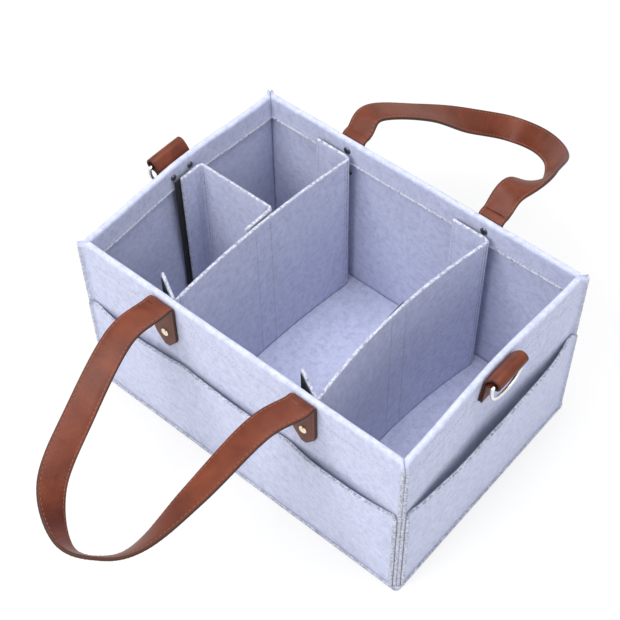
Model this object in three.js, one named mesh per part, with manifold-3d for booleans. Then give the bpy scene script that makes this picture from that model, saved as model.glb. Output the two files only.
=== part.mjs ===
// A felt diaper caddy: a soft open box with folded rims, outer pockets on every side,
// three lift-out dividers held by hook strips, two draped strap handles and two D-rings.
// Millimetres, +Z up. The origin is the centre of the base on the floor, -Y is the front.
import * as THREE from 'three';
import { mergeVertices } from 'three/addons/utils/BufferGeometryUtils.js';
import Module from 'manifold-3d';

const wasm = await Module();
wasm.setup();

// Body of the caddy
const LENGTH = 330;             // along X, over the faces of the end walls
const DEPTH = 230;              // along Y, over the faces of the long walls
const HEIGHT = 180;             // floor to rim
const FELT = 3;                 // thickness of every felt panel
const HEM_HEIGHT = 25;          // how far the rim is folded down inside
const SEAM_FLANGE = 2.5;        // seam allowance that stands out at each corner
const RIM_ROUND = 0.9;          // roundness of the folded rim, 1 is a full half circle
const BASE_LIP = 1.5;           // seam allowance of the base beyond the pockets
const LEFT_BOW = 5;             // the left rim bellies out
const RIGHT_BOW = -3;           // the right rim leans in
const CORNER_FLAT = 12;         // straight stretch of a panel beside each corner

// Outer pockets
const POCKET_DROP = 72;         // rim to the pocket's top edge
const SUB_POCKET_WIDTH = 113;   // middle pocket between the two stitch lines, front and back
const FRONT_BULGE = 7;          // how far a sub-pocket stands off the long walls
const MIDDLE_BULGE = 5.5;       // the same in the middle, which is pulled tighter
const SIDE_BULGE = 11;          // how far the single pocket stands off the end walls
const BULGE_FULLNESS = 0.8;     // 1 is a sine across the pocket, less is fuller

// Dividers
const DIVIDER_DROP = 11;        // rim to the top of every divider
const LEFT_DIVIDER_OUT = 69.5;  // middle of the box to the left divider's ends
const RIGHT_DIVIDER_OUT = 77;   // middle of the box to the right divider's ends
const LEFT_SAG = 5.5;           // how far the left divider bows to the left
const RIGHT_SAG = 10;           // how far the right divider bows to the left
const SHORT_DIVIDER_Y = 18;     // where the short divider stands in the left bay
const FLAP_WIDTH = 29;          // end flap from its fold to its free edge
const LEFT_FLAP_WIDTH = 21;     // the short divider's flap on the left wall
const STRIP_OVERHANG = 8;       // of that flap's hook strip past the felt
const PEEL_ANGLE = 30;          // degrees that the two front flaps are peeled off the wall
const STRIP_WIDTH = 20;         // hook strip
const STRIP_THICKNESS = 1.5;
const STRIP_INSET = 3.5;        // hook strip below the top and above the bottom of its panel

// Strap handles
const HANDLE_SPAN = 144;        // between the two ends of one handle
const STRAP_WIDTH = 24;
const STRAP_THICKNESS = 3;
const CREASE_DROP = 3;          // rim to the fold where strap meets tab
const HANDLE_REACH = 164;       // fold to the far end of the draped loop, outward
const HANDLE_FALL = 68;         // fold to the far end of the draped loop, down
const SHOULDER_OUT = 28;        // fold to the shoulder, where the strap starts to fall
const FRONT_SHOULDER = 1;       // rise of the front strap just past its fold
const BACK_SHOULDER = 9;        // rise of the back strap just past its fold
const FRONT_BANK = 60;          // degrees the front strap tips inward at its far end
const BACK_BANK = 30;           // degrees the back strap tips inward at its far end
const LIMB = [                  // shares of reach, fall and half span along one draped limb
  { reach: 0.5, fall: 0.27, drawn: 0.11 },
  { reach: 0.8, fall: 0.7, drawn: 0.33 },
  { reach: 0.955, fall: 0.92, drawn: 0.61 },
];
const STRAP_STEPS = 36;
const TAB_LENGTH = 52;          // riveted strap end, fold to point
const TAB_POINT = 12;           // length of its tapered point
const TAB_THICKNESS = 2.6;
const TAB_RELIEF = 0.5;         // from the fold line down to the tab, so that a raised strap clears it
const LEATHER_CHAMFER = 0.6;    // broken edge of every leather strip, at most
const CHAMFER_SHARE = 0.3;      // of the strip's thickness, at most

// Rivets
const HANDLE_RIVET_DROP = 10.5; // rim to the upper rivet of each handle tab
const HANDLE_RIVET_PITCH = 28;  // upper rivet to lower rivet
const HANDLE_RIVET_RADIUS = 4;
const RING_RIVET_DROP = 10;     // rim to the rivets of each ring tab
const RING_RIVET_PITCH = 20;    // between the two rivets of a ring tab
const RING_RIVET_RADIUS = 3.5;
const RIVET_POST = 1.5;         // radius of every post
const RIVET_DOME = 1.8;         // height of the outer cap
const RIVET_CAP = 1.5;          // height of the inner cap
const RIVET_SIDES = 10;

// D-rings and their leather tabs
const RING_WIRE = 3.2;          // wire diameter
const RING_WIDTH = 38;          // clear width along the straight bar
const RING_DROP = 23;           // bar to the bottom of the bow
const RING_CHEEK = 0.75;        // share of the drop at which the sides turn into the bow
const RING_BELLY = 0.55;        // share of the half width over which the bow lies flat
const RING_TAB_THICKNESS = 1.8;
const RING_TAB_FOOT = 46;       // width at the riveted ends
const RING_TAB_LEG = 16;        // height of the flat riveted legs
const RING_LOOP_RADIUS = 4.6;   // middle of the leather round the bar
const RING_LOOP_OUT = 10;       // wall to the centre of that loop
const RING_LOOP_RISE = 6;       // top of the flat legs to the centre of that loop
const RING_NECK = 6;            // height over which the inner leg curves into the loop
const LOOP_START = 125;         // degrees on the loop where it leaves the inner leg
const LOOP_END = -105;          // degrees on the loop where it joins the outer leg
const RING_STEPS = 44;          // round the ring, and along its leather

// Clearances
const GAP = 0.3;                // between pieces that lie against each other
const POCKET_GAP = 0.4;         // between a wall and the sewn lines of its pocket
const SEAT = 0.2;               // under caps and strips, and under panels on the base
const HOLE_SLACK = 0.3;         // round each rivet post

// Facets of the felt panels
const PANEL_STEPS = 8;          // along a wall or a divider
const BAY_STEPS = 10;           // along one pocket
const POCKET_STEPS = 5;         // up a pocket
const RIM_STEPS = 3;            // round the folded rim

// Values that follow
const HALF_LENGTH = LENGTH / 2;
const HALF_DEPTH = DEPTH / 2;
const FLOOR_TOP = FELT + SEAT;
const HEM_BOTTOM = HEIGHT - HEM_HEIGHT;
const POCKET_TOP = HEIGHT - POCKET_DROP;
const DIVIDER_TOP = HEIGHT - DIVIDER_DROP;
const CAP_CLEAR = RIVET_CAP + SEAT + GAP;
const TAB_FACE = GAP + TAB_THICKNESS;
const CREASE_OUT = TAB_FACE + GAP + STRAP_THICKNESS / 2;
const CREASE_Z = HEIGHT - CREASE_DROP;
const UPPER_RIVET_Z = HEIGHT - HANDLE_RIVET_DROP;
const LOWER_RIVET_Z = UPPER_RIVET_Z - HANDLE_RIVET_PITCH;
const RING_RIVET_Z = HEIGHT - RING_RIVET_DROP;
const LEG_TOP = RING_RIVET_Z + RING_RIVET_RADIUS + 2 * GAP;
const INNER_LEG = GAP + RING_TAB_THICKNESS / 2;
const OUTER_LEG = INNER_LEG + RING_TAB_THICKNESS + GAP;
const RING_TAB_FACE = OUTER_LEG + RING_TAB_THICKNESS / 2;
const LOOP_Z = LEG_TOP + RING_LOOP_RISE;
const WIRE_RADIUS = RING_WIRE / 2;
const HOLE_RADIUS = RIVET_POST + HOLE_SLACK;
const DRILL_LENGTH = 12 * FELT;
const BAR_Z = LOOP_Z - (RING_LOOP_RADIUS - RING_TAB_THICKNESS / 2 - WIRE_RADIUS - GAP);

// Finishes
const finish = (color, roughness, metalness = 0) =>
  () => new THREE.MeshStandardMaterial({ color, roughness, metalness });
const felt = finish(0xbcbcd2, 0.95);
const leather = finish(0x96503a, 0.42);
const hookTape = finish(0x17171b, 0.85);
const steel = finish(0xc9cacc, 0.22, 1);
const brassCap = finish(0xd8c7a4, 0.3, 1);

const caddy = new THREE.Group();

// Solid geometry helpers

// Merge shared corners, drop empty triangles and turn the faces outward.
function closed(geometry) {
  geometry.deleteAttribute('normal');
  geometry.deleteAttribute('uv');
  const merged = mergeVertices(geometry, 1e-3);
  const position = merged.getAttribute('position');
  const kept = [];
  let volume = 0;
  const corner = [new THREE.Vector3(), new THREE.Vector3(), new THREE.Vector3()];
  for (let i = 0; i < merged.index.count; i += 3) {
    const ids = [0, 1, 2].map((k) => merged.index.getX(i + k));
    if (new Set(ids).size < 3) continue;
    kept.push(...ids);
    ids.forEach((id, k) => corner[k].fromBufferAttribute(position, id));
    volume += corner[0].dot(corner[1].clone().cross(corner[2]));
  }
  if (volume < 0) kept.reverse();
  merged.setIndex(kept);
  return merged;
}

function fromTriangles(points, triangles) {
  const positions = points.flatMap((p) => [p.x, p.y, p.z]);
  const geometry = new THREE.BufferGeometry();
  geometry.setAttribute('position', new THREE.Float32BufferAttribute(positions, 3));
  geometry.setIndex(triangles.flat());
  return closed(geometry);
}

// A skin through closed rings of points, with flat ends, or joined end to end.
function loft(rings, endless = false) {
  const count = rings[0].length;
  const triangles = [];
  const spans = endless ? rings.length : rings.length - 1;
  for (let r = 0; r < spans; r += 1) {
    const a = r * count;
    const b = ((r + 1) % rings.length) * count;
    for (let i = 0; i < count; i += 1) {
      const j = (i + 1) % count;
      triangles.push([a + i, a + j, b + j], [a + i, b + j, b + i]);
    }
  }
  if (!endless) {
    const flat = endFaces(rings[0]);
    const last = (rings.length - 1) * count;
    flat.forEach(([i, j, k]) => triangles.push([i, k, j], [last + i, last + j, last + k]));
  }
  return fromTriangles(rings.flat(), triangles);
}

// Triangles that fill one ring, which may have inward corners.
function endFaces(ring) {
  const area = new THREE.Vector3();
  ring.forEach((p, i) => area.add(p.clone().cross(ring[(i + 1) % ring.length])));
  const normal = area.normalize();
  const right = ring[1].clone().sub(ring[0]).normalize();
  const up = normal.clone().cross(right);
  const outline = ring.map((p) => new THREE.Vector2(p.dot(right), p.dot(up)));
  return THREE.ShapeUtils.triangulateShape(outline, []);
}

// The path moved sideways by a distance, with mitred corners.
function beside(path, distance) {
  return path.map((p, i) => {
    const before = path[Math.max(i - 1, 0)];
    const after = path[Math.min(i + 1, path.length - 1)];
    const first = p.clone().sub(before).normalize();
    const second = after.clone().sub(p).normalize();
    if (i === 0) first.copy(second);
    if (i === path.length - 1) second.copy(first);
    const mitre = first.clone().add(second).normalize();
    const stretch = distance / mitre.dot(first);
    return new THREE.Vector2(p.x - mitre.y * stretch, p.y + mitre.x * stretch);
  });
}

// A sheet that stands on its edge: its middle line is given at each height.
function standingSheet(heights, pathAt, thickness) {
  const rings = heights.map((z) => {
    const path = pathAt(z);
    const outline = [...beside(path, -thickness / 2), ...beside(path, thickness / 2).reverse()];
    return outline.map((p) => new THREE.Vector3(p.x, p.y, z));
  });
  return loft(rings);
}

// A flat strip with chamfered edges along stations of point, across, facing, width, thickness.
function strip(stations) {
  const rings = stations.map(({ point, across, facing, width, thickness }) => {
    const edge = Math.min(LEATHER_CHAMFER, thickness * CHAMFER_SHARE);
    const w = width / 2;
    const t = thickness / 2;
    const corners = [[w, t - edge], [w - edge, t], [edge - w, t], [-w, t - edge]];
    const section = [...corners, ...corners.map(([a, f]) => [-a, -f])];
    return section.map(([a, f]) => point.clone().addScaledVector(across, a).addScaledVector(facing, f));
  });
  return loft(rings);
}

function solid(geometry) {
  const plain = closed(geometry);
  return new wasm.Manifold(new wasm.Mesh({
    numProp: 3,
    vertProperties: new Float32Array(plain.getAttribute('position').array),
    triVerts: new Uint32Array(plain.index.array),
  }));
}

function geometryOf(body) {
  const { vertProperties, triVerts, numProp } = body.getMesh();
  const geometry = new THREE.BufferGeometry();
  const positions = [];
  for (let i = 0; i < vertProperties.length; i += numProp) {
    positions.push(...vertProperties.slice(i, i + 3));
  }
  geometry.setAttribute('position', new THREE.Float32BufferAttribute(positions, 3));
  geometry.setIndex([...triVerts]);
  return geometry;
}

function add(parent, name, geometry, material) {
  const mesh = new THREE.Mesh(geometry, material());
  mesh.name = name;
  parent.add(mesh);
  return mesh;
}

const radians = THREE.MathUtils.degToRad;

// Walls. Each is built facing -Y and turned about Z into its place, so that in its own
// group a point is given by t along the wall, n outward from its outer face, and z.

function wallGroup(turn) {
  const group = new THREE.Group();
  group.rotation.z = turn * Math.PI / 2;
  caddy.add(group);
  return group;
}

// How far the outer face of a wall stands out of line at t, z.
function bowAt(wall, t, z) {
  const share = Math.min(Math.abs(t) / (wall.half - CORNER_FLAT), 1);
  const climb = THREE.MathUtils.clamp((z - FLOOR_TOP) / (HEM_BOTTOM - FLOOR_TOP), 0, 1);
  return wall.bow * (1 - share ** 2) ** 2 * climb;
}

// Middle line of a felt layer whose inner face lies at offset n, ends turned out along the seam.
function layerPath(wall, z, inner, stops, bulge) {
  const middle = inner + FELT / 2;
  const fromSeam = GAP / 2 + FELT + middle;
  const tip = [
    wall.half + (SEAM_FLANGE - fromSeam) * Math.SQRT1_2,
    (SEAM_FLANGE + fromSeam) * Math.SQRT1_2,
  ];
  const bend = [wall.half + middle - fromSeam * Math.SQRT2, middle];
  const along = stops.map((t) => [t, middle + bowAt(wall, t, z) + bulge(t, z)]);
  const points = [[-tip[0], tip[1]], [-bend[0], bend[1]], ...along, bend, tip];
  return points.map(([t, n]) => new THREE.Vector2(t, -wall.out - n));
}

function evenStops(from, to, count) {
  return Array.from({ length: count + 1 }, (_, i) => from + (to - from) * i / count);
}

// Outline of a wall at height z. Below the hem it is one layer of felt, in the hem two, and
// at the rounded rim both faces draw together by the given amount.
function wallOutline(wall, z, stops, layers, drawn) {
  const path = layerPath(wall, z, -FELT, stops, () => 0);
  const outer = beside(path, (drawn - FELT) / 2);
  const inner = beside(path, (FELT - drawn) / 2);
  const depth = layers * FELT - drawn;
  const mitre = wall.half - 2 * FELT - GAP;
  const at = (t, n) => new THREE.Vector2(t, -wall.out - n);
  const outerStops = stops.map((t) => at(t, bowAt(wall, t, z) - drawn));
  const innerStops = stops.map((t) => at(t, bowAt(wall, t, z) - depth));
  const points = [
    ...outer.slice(0, 2), ...outerStops, ...outer.slice(-2),
    ...inner.slice(-2).reverse(), at(mitre, -depth), ...innerStops.reverse(), at(-mitre, -depth),
    ...inner.slice(0, 2).reverse(),
  ];
  return points.map((p) => new THREE.Vector3(p.x, p.y, z));
}

function rivetHole(wall, t, z) {
  const drill = new THREE.CylinderGeometry(HOLE_RADIUS, HOLE_RADIUS, DRILL_LENGTH, RIVET_SIDES);
  drill.translate(t, -wall.out, z);
  return solid(drill);
}

// A wall panel with its ends turned out along the corner seams and its top folded in as a hem.
function wallPanel(wall) {
  const stops = evenStops(CORNER_FLAT - wall.half, wall.half - CORNER_FLAT, PANEL_STEPS);
  const rings = [
    wallOutline(wall, FLOOR_TOP, stops, 1, 0),
    wallOutline(wall, HEM_BOTTOM, stops, 1, 0),
    wallOutline(wall, HEM_BOTTOM, stops, 2, 0),
  ];
  evenStops(0, Math.PI / 2, RIM_STEPS).forEach((angle) => {
    const z = HEIGHT - FELT + FELT * Math.sin(angle);
    rings.push(wallOutline(wall, z, stops, 2, RIM_ROUND * FELT * (1 - Math.cos(angle))));
  });
  let body = solid(loft(rings));
  wall.rivets.forEach(({ t, z }) => {
    body = body.subtract(rivetHole(wall, t, z));
  });
  add(wall.group, `${wall.name}_wall`, geometryOf(body), felt);
}

// A pocket panel, sewn to its wall at the bottom, the ends and its stitch lines, slack between them.
function pocketPanel(wall) {
  const bulge = (t, z) => {
    const rise = THREE.MathUtils.clamp((z - FLOOR_TOP) / (POCKET_TOP - FLOOR_TOP), 0, 1);
    const bay = wall.bays.find(({ from, to }) => t > from && t < to);
    if (!bay) return 0;
    const share = (t - bay.from) / (bay.to - bay.from);
    return bay.bulge * Math.sin(Math.PI * share) ** BULGE_FULLNESS * Math.sin(rise * Math.PI / 2);
  };
  const stops = wall.bays.flatMap(({ from, to }, i) =>
    evenStops(from, to, BAY_STEPS).slice(i === 0 ? 0 : 1));
  const heights = evenStops(FLOOR_TOP, POCKET_TOP, POCKET_STEPS);
  const panel = standingSheet(heights, (z) => layerPath(wall, z, POCKET_GAP, stops, bulge), FELT);
  add(wall.group, `${wall.name}_pocket`, panel, felt);
}

function basePanel() {
  const margin = POCKET_GAP + FELT + BASE_LIP;
  const x = HALF_LENGTH + margin;
  const y = HALF_DEPTH + margin;
  const corner = SEAM_FLANGE + BASE_LIP;
  const outline = new THREE.Shape();
  outline.moveTo(-x + corner, -y).lineTo(x - corner, -y).quadraticCurveTo(x, -y, x, -y + corner);
  outline.lineTo(x, y - corner).quadraticCurveTo(x, y, x - corner, y);
  outline.lineTo(-x + corner, y).quadraticCurveTo(-x, y, -x, y - corner);
  outline.lineTo(-x, -y + corner).quadraticCurveTo(-x, -y, -x + corner, -y);
  const plate = { depth: FELT, bevelEnabled: false, curveSegments: 4 };
  add(caddy, 'base_panel', closed(new THREE.ExtrudeGeometry(outline, plate)), felt);
}

// Rivets. The outer cap is domed, the post passes through leather and felt, the inner cap is flat.

function rivet(wall, name, t, z, radius, outerFace, innerFace, lift = 0) {
  const outer = -(outerFace + SEAT);
  const inner = innerFace + SEAT;
  const dome = evenStops(0, Math.PI / 2, 3).map((angle) =>
    [radius * Math.sin(angle), outer - RIVET_DOME * Math.cos(angle)]);
  const bevel = RIVET_CAP / 2;
  const profile = [
    ...dome, [RIVET_POST, outer], [RIVET_POST, inner], [radius, inner],
    [radius, inner + bevel], [radius - bevel, inner + RIVET_CAP], [0, inner + RIVET_CAP],
  ];
  const turned = new THREE.LatheGeometry(profile.map(([r, y]) => new THREE.Vector2(r, y)), RIVET_SIDES);
  const mesh = add(wall.group, name, closed(turned), brassCap);
  mesh.position.set(t, -wall.out - lift, z);
}

// Strap handles

// The riveted end of a strap: a flat leather tab with a point, seen from outside.
function handleTab(wall, name, t) {
  const half = STRAP_WIDTH / 2;
  const top = CREASE_Z - TAB_RELIEF;
  const tip = CREASE_Z - TAB_LENGTH;
  const outline = new THREE.Shape();
  outline.moveTo(-half, top).lineTo(-half, tip + TAB_POINT).lineTo(-half / 4, tip);
  outline.lineTo(half / 4, tip).lineTo(half, tip + TAB_POINT).lineTo(half, top).closePath();
  [UPPER_RIVET_Z, LOWER_RIVET_Z].forEach((z) => {
    const hole = new THREE.Path();
    hole.absarc(0, z, HOLE_RADIUS, 0, 2 * Math.PI, true);
    outline.holes.push(hole);
  });
  const plate = { depth: TAB_THICKNESS, bevelEnabled: false, curveSegments: RIVET_SIDES / 2 };
  const tab = new THREE.ExtrudeGeometry(outline, plate);
  tab.rotateX(Math.PI / 2);
  const mesh = add(wall.group, name, closed(tab), leather);
  mesh.position.set(t, -wall.out - GAP, 0);
}

// Middle line of a draped loop, from one fold to the other: t along the wall, outward, up.
function handleLine(shoulder) {
  const half = HANDLE_SPAN / 2;
  const limb = LIMB.map(({ reach, fall, drawn }) =>
    [half * (1 - drawn), HANDLE_REACH * reach, -HANDLE_FALL * fall]);
  const side = [[half, 0, 0], [half, SHOULDER_OUT, shoulder], ...limb];
  const far = [0, HANDLE_REACH, -HANDLE_FALL];
  const stations = [...side.map(([t, n, z]) => [-t, n, z]), far, ...side.reverse()];
  const points = stations.map(([t, n, z]) => new THREE.Vector3(t, -n, z));
  return new THREE.CatmullRomCurve3(points, false, 'centripetal');
}

function handleStrap(wall, name, shoulder, bank) {
  const line = handleLine(shoulder);
  const up = new THREE.Vector3(0, 0, 1);
  const station = (u, point, thickness) => {
    const tangent = line.getTangentAt(u);
    const level = up.clone().cross(tangent).normalize();
    const raised = tangent.clone().cross(level);
    const tip = radians(bank) * Math.sin(Math.PI * u) ** 3;
    const across = level.clone().multiplyScalar(Math.cos(tip)).addScaledVector(raised, -Math.sin(tip));
    return { point, across, facing: tangent.clone().cross(across), width: STRAP_WIDTH, thickness };
  };
  const stations = evenStops(0, 1, STRAP_STEPS).map((u) => station(u, line.getPointAt(u), STRAP_THICKNESS));
  // Both ends are rounded about the fold, so that the strap can turn there.
  const rounding = [30, 65].map((a) => radians(a));
  [0, 1].forEach((u) => {
    const away = line.getTangentAt(u).multiplyScalar((u - 0.5) * STRAP_THICKNESS);
    rounding.forEach((angle) => {
      const point = line.getPointAt(u).addScaledVector(away, Math.sin(angle));
      const end = station(u, point, STRAP_THICKNESS * Math.cos(angle));
      if (u === 0) stations.unshift(end);
      else stations.push(end);
    });
  });
  const mesh = add(wall.group, name, strip(stations), leather);
  mesh.position.set(0, -wall.out - CREASE_OUT, CREASE_Z);
}

// D-rings

// How far out of line the ring tab's foot stands, clear of the bowed wall behind it.
function ringSeat(wall) {
  return Math.max(bowAt(wall, 0, HEIGHT), bowAt(wall, RING_TAB_FOOT / 2, HEIGHT));
}

// The leather that carries a D-ring: up the wall, round the bar and down again, in the t = 0 plane.
function ringTab(wall) {
  const foot = LEG_TOP - RING_TAB_LEG;
  const line = new THREE.Path();
  line.moveTo(INNER_LEG, foot);
  line.lineTo(INNER_LEG, LEG_TOP);
  const start = radians(LOOP_START);
  const end = radians(LOOP_END);
  const on = (angle) => [
    RING_LOOP_OUT + RING_LOOP_RADIUS * Math.cos(angle),
    LOOP_Z + RING_LOOP_RADIUS * Math.sin(angle),
  ];
  const [startOut, startZ] = on(start);
  const [endOut, endZ] = on(end);
  line.quadraticCurveTo(INNER_LEG, startZ - RING_NECK, startOut, startZ);
  line.absarc(RING_LOOP_OUT, LOOP_Z, RING_LOOP_RADIUS, start, end, true);
  line.quadraticCurveTo(OUTER_LEG + (endOut - OUTER_LEG) / 3, endZ, OUTER_LEG, LEG_TOP - 2 * GAP);
  line.lineTo(OUTER_LEG, foot);
  const across = new THREE.Vector3(1, 0, 0);
  const points = line.getSpacedPoints(RING_STEPS);
  const stations = points.map((p, i) => {
    const before = points[Math.max(i - 1, 0)];
    const tangent = points[Math.min(i + 1, RING_STEPS)].clone().sub(before).normalize();
    const facing = new THREE.Vector3(0, tangent.y, tangent.x);
    const narrow = THREE.MathUtils.clamp((p.y - foot) / (LOOP_Z - RING_LOOP_RADIUS - foot), 0, 1);
    const width = THREE.MathUtils.lerp(RING_TAB_FOOT, RING_WIDTH - 4 * GAP, narrow);
    return { point: new THREE.Vector3(0, -p.x, p.y), across, facing, width, thickness: RING_TAB_THICKNESS };
  });
  const leatherLoop = strip(stations);
  leatherLoop.translate(0, -wall.out - ringSeat(wall), 0);
  let body = solid(leatherLoop);
  wall.rivets.forEach(({ t, z }) => {
    body = body.subtract(rivetHole(wall, t, z));
  });
  add(wall.group, `${wall.name}_ring_tab`, geometryOf(body), leather);
}

// Wire bent to a D, hanging from its straight bar.
function dRing(wall) {
  const half = (RING_WIDTH + RING_WIRE) / 2;
  const shoulder = RING_WIRE;
  const line = new THREE.Path();
  line.moveTo(-half + shoulder, 0);
  line.lineTo(half - shoulder, 0);
  line.quadraticCurveTo(half, 0, half, -shoulder);
  const cheek = RING_DROP * RING_CHEEK;
  const belly = half * RING_BELLY;
  line.bezierCurveTo(half, -cheek, belly, -RING_DROP, 0, -RING_DROP);
  line.bezierCurveTo(-belly, -RING_DROP, -half, -cheek, -half, -shoulder);
  line.quadraticCurveTo(-half, 0, -half + shoulder, 0);
  const points = line.getSpacedPoints(RING_STEPS).slice(0, RING_STEPS);
  const sides = evenStops(0, 2 * Math.PI, 8).slice(1);
  const rings = points.map((p, i) => {
    const before = points[(i + RING_STEPS - 1) % RING_STEPS];
    const tangent = points[(i + 1) % RING_STEPS].clone().sub(before).normalize();
    return sides.map((angle) => {
      const inPlane = WIRE_RADIUS * Math.cos(angle);
      const offPlane = WIRE_RADIUS * Math.sin(angle);
      return new THREE.Vector3(p.x - tangent.y * inPlane, offPlane, p.y + tangent.x * inPlane);
    });
  });
  const mesh = add(wall.group, `${wall.name}_d_ring`, loft(rings, true), steel);
  mesh.position.set(0, -wall.out - ringSeat(wall) - RING_LOOP_OUT, BAR_Z);
}

// Dividers

// A felt panel standing between two ends, bowed to one side in the middle.
function dividerPanel(name, from, to, sag) {
  const along = to.clone().sub(from);
  const side = new THREE.Vector2(-along.y, along.x).normalize();
  const path = evenStops(0, 1, PANEL_STEPS).map((u) =>
    from.clone().addScaledVector(along, u).addScaledVector(side, sag * 4 * u * (1 - u)));
  const panel = standingSheet([FLOOR_TOP + GAP, DIVIDER_TOP], () => path, FELT);
  add(caddy, name, panel, felt);
}

// An end flap and its hook strip, in a group at the fold. The flap runs along local +X, where the
// strip ends at stripEnd, or there is none.
function endFlap(name, fold, heading, width, stripEnd) {
  const hinge = new THREE.Group();
  hinge.position.set(fold.x, fold.y, 0);
  hinge.rotation.z = heading.angle;
  caddy.add(hinge);
  const round = FELT / 2;
  const heights = [FLOOR_TOP + GAP, DIVIDER_TOP];
  const outline = evenStops(Math.PI / 2, 1.5 * Math.PI, 4).map((angle) =>
    [round * Math.cos(angle), round * Math.sin(angle)]);
  outline.push([width, -round], [width, round]);
  const rings = heights.map((z) => outline.map(([x, y]) => new THREE.Vector3(x, y, z)));
  add(hinge, name, loft(rings), felt);
  if (!stripEnd) return;
  const middle = heading.wallSide * (round + SEAT + STRIP_THICKNESS / 2);
  const path = [stripEnd - STRIP_WIDTH, stripEnd].map((x) => new THREE.Vector2(x, middle));
  const ends = [heights[0] + STRIP_INSET, heights[1] - STRIP_INSET];
  const tape = standingSheet(ends, () => path, STRIP_THICKNESS);
  add(hinge, name.replace('flap', 'hook_strip'), tape, hookTape);
}

// The cross dividers run from front to back, with their flaps turned to the left.
function crossDivider(name, x, sag) {
  const stripFace = HALF_DEPTH - 2 * FELT - CAP_CLEAR;
  const flapFace = stripFace - STRIP_THICKNESS - SEAT;
  dividerPanel(name, new THREE.Vector2(x, -flapFace), new THREE.Vector2(x, flapFace), sag);
  const slope = 2 * sag / flapFace;
  const foldX = x - FELT - GAP - slope * FELT;
  const foldY = flapFace - FELT / 2;
  const front = { angle: Math.PI - radians(PEEL_ANGLE), wallSide: 1 };
  const back = { angle: Math.PI, wallSide: -1 };
  const stripEnd = (FLAP_WIDTH + STRIP_WIDTH + FELT) / 2;
  endFlap(`${name}_front_flap`, new THREE.Vector2(foldX, -foldY), front, FLAP_WIDTH, stripEnd);
  endFlap(`${name}_back_flap`, new THREE.Vector2(foldX, foldY), back, FLAP_WIDTH, stripEnd);
  const face = x - sag - FELT / 2 - SEAT - STRIP_THICKNESS / 2;
  const centre = SHORT_DIVIDER_Y - FELT - GAP - FLAP_WIDTH / 2;
  const path = [-1, 1].map((end) => new THREE.Vector2(face, centre + end * STRIP_WIDTH / 2));
  const ends = [FLOOR_TOP + GAP + STRIP_INSET, DIVIDER_TOP - STRIP_INSET];
  add(caddy, `${name}_dock_strip`, standingSheet(ends, () => path, STRIP_THICKNESS), hookTape);
}

// The short divider runs from the left wall to the left divider, with its flaps turned to the front.
function shortDivider(name) {
  const lift = bowAt(walls.left, SHORT_DIVIDER_Y, HEIGHT);
  const wallFace = -Math.min(HALF_LENGTH - FELT - GAP, HALF_LENGTH + lift - 2 * FELT - CAP_CLEAR);
  const leftFace = wallFace + STRIP_THICKNESS + SEAT;
  const rightFace = -LEFT_DIVIDER_OUT - LEFT_SAG - FELT / 2 - SEAT - STRIP_THICKNESS - GAP;
  const y = SHORT_DIVIDER_Y;
  dividerPanel(name, new THREE.Vector2(leftFace, y), new THREE.Vector2(rightFace, y), 0);
  const foldY = y - FELT / 2 - GAP - FELT / 2;
  const left = { angle: -Math.PI / 2, wallSide: -1 };
  const right = { angle: -Math.PI / 2, wallSide: 1 };
  const leftFold = new THREE.Vector2(leftFace + FELT / 2, foldY);
  const rightFold = new THREE.Vector2(rightFace - FELT / 2, foldY);
  endFlap(`${name}_left_flap`, leftFold, left, LEFT_FLAP_WIDTH, LEFT_FLAP_WIDTH + STRIP_OVERHANG);
  endFlap(`${name}_right_flap`, rightFold, right, FLAP_WIDTH, 0);
}

// Assembly

const longBays = (half) => [
  { from: CORNER_FLAT - half, to: -SUB_POCKET_WIDTH / 2, bulge: FRONT_BULGE },
  { from: -SUB_POCKET_WIDTH / 2, to: SUB_POCKET_WIDTH / 2, bulge: MIDDLE_BULGE },
  { from: SUB_POCKET_WIDTH / 2, to: half - CORNER_FLAT, bulge: FRONT_BULGE },
];
const endBays = (half) => [{ from: CORNER_FLAT - half, to: half - CORNER_FLAT, bulge: SIDE_BULGE }];
const handleRivets = [-1, 1].flatMap((side) =>
  [UPPER_RIVET_Z, LOWER_RIVET_Z].map((z) => ({ t: side * HANDLE_SPAN / 2, z })));
const ringRivets = [-1, 1].map((side) => ({ t: side * RING_RIVET_PITCH / 2, z: RING_RIVET_Z }));

const longWall = (name, turn) => ({
  name, turn, half: HALF_LENGTH, out: HALF_DEPTH, bow: 0, bays: longBays(HALF_LENGTH), rivets: handleRivets,
});
const endWall = (name, turn, bow) => ({
  name, turn, half: HALF_DEPTH, out: HALF_LENGTH, bow, bays: endBays(HALF_DEPTH), rivets: ringRivets,
});
const walls = {
  front: longWall('front', 0),
  right: endWall('right', 1, RIGHT_BOW),
  back: longWall('back', 2),
  left: endWall('left', 3, LEFT_BOW),
};

basePanel();
Object.values(walls).forEach((wall) => {
  wall.group = wallGroup(wall.turn);
  wallPanel(wall);
  pocketPanel(wall);
});

const handles = [
  { wall: walls.front, shoulder: FRONT_SHOULDER, bank: FRONT_BANK },
  { wall: walls.back, shoulder: BACK_SHOULDER, bank: BACK_BANK },
];
handles.forEach(({ wall, shoulder, bank }) => {
  handleStrap(wall, `${wall.name}_handle_strap`, shoulder, bank);
  [-1, 1].forEach((side) => {
    const end = (side < 0) === (wall.turn === 0) ? 'left' : 'right';
    const t = side * HANDLE_SPAN / 2;
    const name = `${wall.name}_${end}_handle`;
    handleTab(wall, `${name}_tab`, t);
    rivet(wall, `${name}_upper_rivet`, t, UPPER_RIVET_Z, HANDLE_RIVET_RADIUS, TAB_FACE, 2 * FELT);
    rivet(wall, `${name}_lower_rivet`, t, LOWER_RIVET_Z, HANDLE_RIVET_RADIUS, TAB_FACE, FELT);
  });
});

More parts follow.
